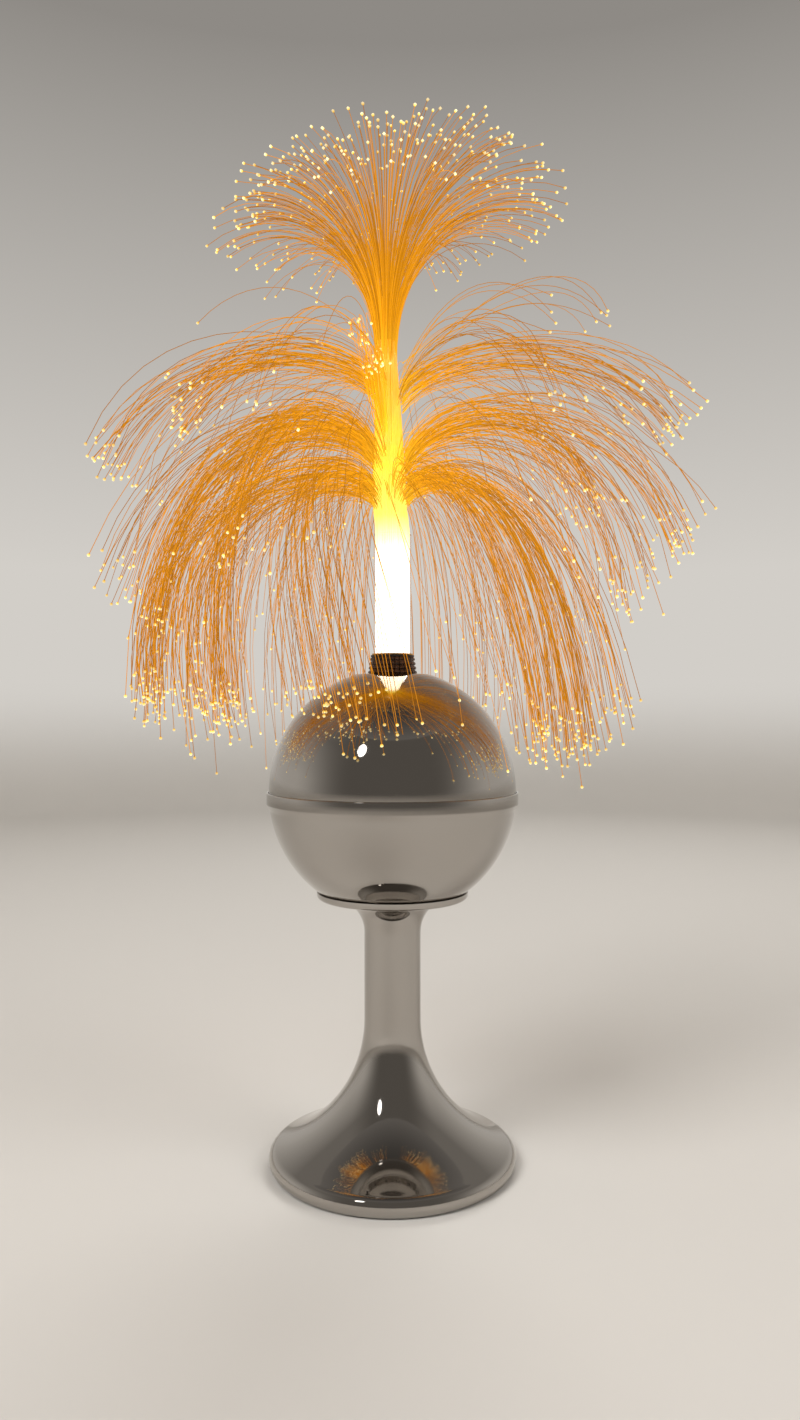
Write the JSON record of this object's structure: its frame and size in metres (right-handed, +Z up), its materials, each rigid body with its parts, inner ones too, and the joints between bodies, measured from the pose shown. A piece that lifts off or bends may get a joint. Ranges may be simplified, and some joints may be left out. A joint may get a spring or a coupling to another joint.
{
  "type": "fibre optic table lamp",
  "caption": "Ball-shaped lamp house on a trumpet foot, with a tall spray of glowing plastic fibres standing in its neck.",
  "frame": {"origin": "middle of the felt pad's underside, on the table", "axes": "+Z up along the stem, +Y to the lamp's back with the cord inlet, +X to the right seen from the front"},
  "size_m": [0.4417, 0.4053, 0.731],
  "materials": {
    "chrome": "mirror chrome plate on spun sheet",
    "felt": "dark felt",
    "black_steel": "black lacquer",
    "cast_iron": "rough cast",
    "rubber": "matte",
    "brass": "satin",
    "zinc": "zinc plated",
    "core_steel": "laminated sheet",
    "copper_winding": "wound wire under amber tape",
    "porcelain": "glazed",
    "reflector": "polished",
    "cream_plastic": "satin",
    "red_insulation": "satin",
    "black_insulation": "satin",
    "bulb_glass": "clear",
    "bulb_brass": "satin",
    "filament": "glowing",
    "neck_brown": "dark brown moulding",
    "liner_black": "smooth moulding",
    "bundle": "lit fibres, glowing",
    "clear_sleeve": "clear",
    "wheel_frame": "grey lacquer",
    "filter_amber": "coloured film",
    "filter_red": "coloured film",
    "filter_green": "coloured film",
    "filter_blue": "coloured film",
    "fibre": "clear fibres that glow at their tips"
  },
  "bodies": {
    "stand": {"felt_pad": "felt", "base_plate": "black_steel", "ballast_disc": "cast_iron", "pedestal_shell": "chrome", "cord_grommet": "rubber", "tie_rod": "brass", "rod_nuts": "zinc", "rod_washers": "zinc", "saucer": "chrome", "lower_bowl": "chrome", "chassis_posts": "zinc", "chassis_plate": "zinc", "chassis_screws": "zinc", "transformer_core": "core_steel", "transformer_coil": "copper_winding", "transformer_clamp": "zinc", "transformer_screws": "zinc", "motor_body": "zinc", "motor_screws": "zinc", "lamp_holder": "porcelain", "holder_contact": "brass", "holder_screws": "zinc", "reflector": "reflector", "terminal_block": "cream_plastic", "lamp_leads": "red_insulation", "motor_leads": "black_insulation"},
    "bulb": {"bulb_glass": "bulb_glass", "bulb_cap": "bulb_brass", "bulb_filament": "filament"},
    "dome": {"upper_dome": "chrome", "neck_collar": "neck_brown", "neck_nut": "neck_brown"},
    "liner": {"neck_liner": "liner_black"},
    "spray": {"ferrule": "brass", "bundle_core": "bundle", "bundle_sleeve": "clear_sleeve", "lower_tuft_1": "fibre", "lower_tuft_2": "fibre", "lower_tuft_3": "fibre", "lower_tuft_4": "fibre", "lower_tuft_5": "fibre", "lower_tuft_6": "fibre", "middle_tuft_1": "fibre", "middle_tuft_2": "fibre", "middle_tuft_3": "fibre", "middle_tuft_4": "fibre", "upper_tuft_1": "fibre", "upper_tuft_2": "fibre", "upper_tuft_3": "fibre", "upper_tuft_4": "fibre", "crown_tuft": "fibre"},
    "colour_wheel": {"motor_shaft": "zinc", "wheel_hub": "cream_plastic", "wheel_frame": "wheel_frame", "wheel_nut": "brass", "filter_amber": "filter_amber", "filter_red": "filter_red", "filter_green": "filter_green", "filter_blue": "filter_blue"}
  },
  "joints": [
    {"name": "dome_lift", "type": "slide", "parent": "stand", "child": "dome", "axis": [0, 0, 1], "range_m": [0, 0.1]},
    {"name": "spray_turn", "type": "hinge", "parent": "dome", "child": "liner", "pos_m": [0, 0, 0.35], "axis": [0, 0, 1], "continuous": true},
    {"name": "spray_lift", "type": "slide", "parent": "liner", "child": "spray", "axis": [0, 0, 1], "range_m": [0, 0.08]},
    {"name": "wheel_spin", "type": "hinge", "parent": "stand", "child": "colour_wheel", "pos_m": [-0.0275, 0, 0.273], "axis": [0, 0, 1], "continuous": true},
    {"name": "bulb_twist", "type": "hinge", "parent": "stand", "child": "bulb", "pos_m": [0, 0, 0.245], "axis": [0, 0, 1], "range_deg": [0, 15]}
  ]
}
